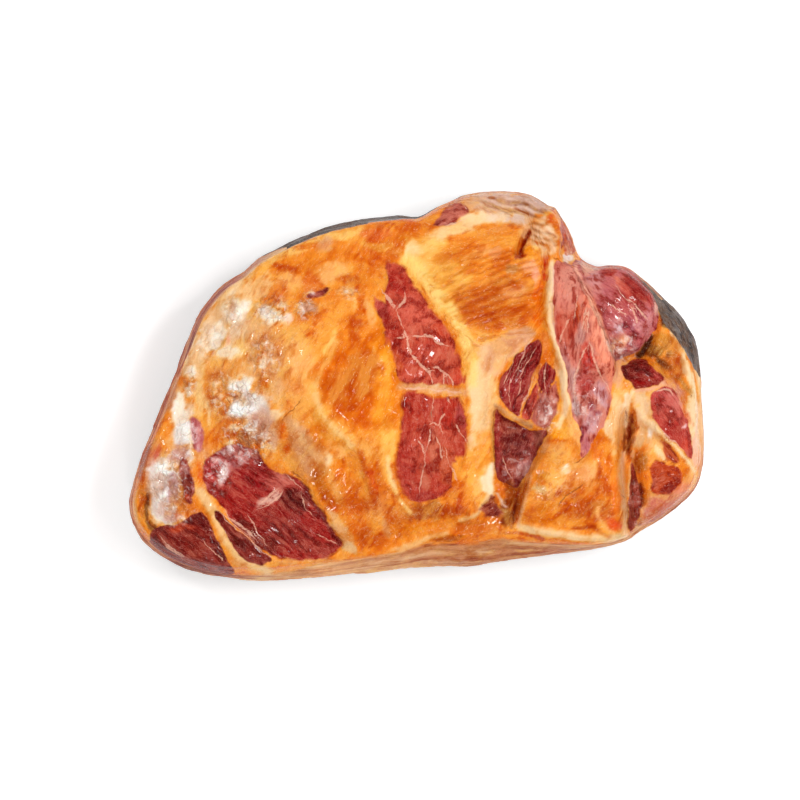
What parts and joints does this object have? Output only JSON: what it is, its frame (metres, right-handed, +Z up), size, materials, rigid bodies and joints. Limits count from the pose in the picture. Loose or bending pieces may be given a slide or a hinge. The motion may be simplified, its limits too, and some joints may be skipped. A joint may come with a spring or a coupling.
{
  "type": "smoked pork shoulder",
  "caption": "Boned smoked pork shoulder, a thick trimmed slab of dark red meat and amber fat with its cut face up, lying flat on its rind.",
  "frame": {"origin": "middle of the bounding box, on the flat underside that the shoulder rests on", "axes": "+X along the length, from the narrow left end to the lobed right end of the picture; +Y across it, up in the picture; +Z up, out of the cut face"},
  "size_m": [0.2874, 0.195, 0.092],
  "materials": {
    "smoked_pork": "moist cured meat and fat"
  },
  "bodies": {
    "root": {"pork_shoulder": "smoked_pork"}
  },
  "joints": []
}
